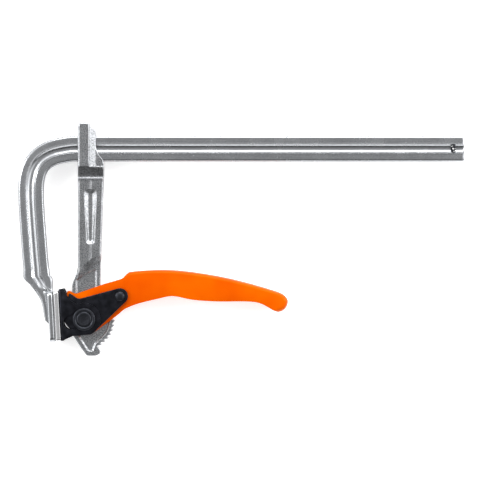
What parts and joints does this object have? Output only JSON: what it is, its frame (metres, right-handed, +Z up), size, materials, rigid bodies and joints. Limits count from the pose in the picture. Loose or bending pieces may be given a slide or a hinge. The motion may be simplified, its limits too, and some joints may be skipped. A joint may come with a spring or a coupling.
{
  "type": "lever clamp",
  "caption": "All-steel bar clamp with a bent fixed arm, a sliding forged arm, and an orange ratchet lever whose cam plates press a swivelling pad against the fixed jaw.",
  "frame": {"origin": "middle of the clamp's box in X and Y, at its lowest point, the outer face of the far pin collar that it lies on", "axes": "+X along the rail towards its free end, +Y from the jaws towards the rail, +Z up through the clamp's thickness, towards the near side that shows the rivet heads"},
  "size_m": [0.3768, 0.1972, 0.0304],
  "materials": {
    "drawn_steel": "bright zinc plated drawn steel",
    "forged_steel": "blasted and zinc plated drop forging",
    "black_steel": "blackened hardened steel, lightly oiled",
    "pin_steel": "blackened turned steel",
    "bright_steel": "bright milled steel",
    "spring_steel": "drawn spring wire",
    "orange_paint": "orange powder coat on pressed sheet steel"
  },
  "bodies": {
    "rail": {"rail_bar": "drawn_steel", "end_stop_pin": "pin_steel"},
    "arm": {"sliding_arm": "forged_steel"},
    "pin": {"main_pin": "pin_steel", "pin_collar_near": "pin_steel", "pin_collar_far": "pin_steel"},
    "lever": {"lever_handle": "orange_paint", "cam_plate_near": "black_steel", "cam_plate_far": "black_steel", "pawl_pin": "pin_steel", "pawl_spacer": "spring_steel", "pawl_spring": "spring_steel"},
    "pawl": {"pawl": "forged_steel"},
    "pad": {"pad_yoke": "black_steel", "pad_face_plate": "bright_steel", "pad_rivet_upper": "bright_steel", "pad_rivet_lower": "bright_steel"}
  },
  "joints": [
    {"name": "arm_slide", "type": "slide", "parent": "rail", "child": "arm", "axis": [1, 0, 0], "range_m": [0, 0.297]},
    {"name": "lever_pivot", "type": "hinge", "parent": "arm", "child": "lever", "pos_m": [-0.1321, -0.0676, 0.0152], "axis": [0, 0, 1], "range_deg": [-45, 0]},
    {"name": "pawl_pivot", "type": "hinge", "parent": "lever", "child": "pawl", "pos_m": [-0.102, -0.0482, 0.0152], "axis": [0, 0, 1], "range_deg": [-8, 2], "stiffness_Nm_per_rad": 0.03, "springref_deg": -17.19, "deforming": ["pawl_spring"]},
    {"name": "pad_swivel", "type": "hinge", "parent": "arm", "child": "pin", "pos_m": [-0.1321, -0.0676, 0.0152], "axis": [0, 0, 1], "range_deg": [-2.5, 2.5]},
    {"name": "pad_travel", "type": "slide", "parent": "pin", "child": "pad", "axis": [0.9984, 0.0558, 0], "range_m": [0, 0.0036]}
  ],
  "couplings": [
    {"joint": "pad_travel", "follows": "lever_pivot", "m_per_rad": -0.0045}
  ]
}
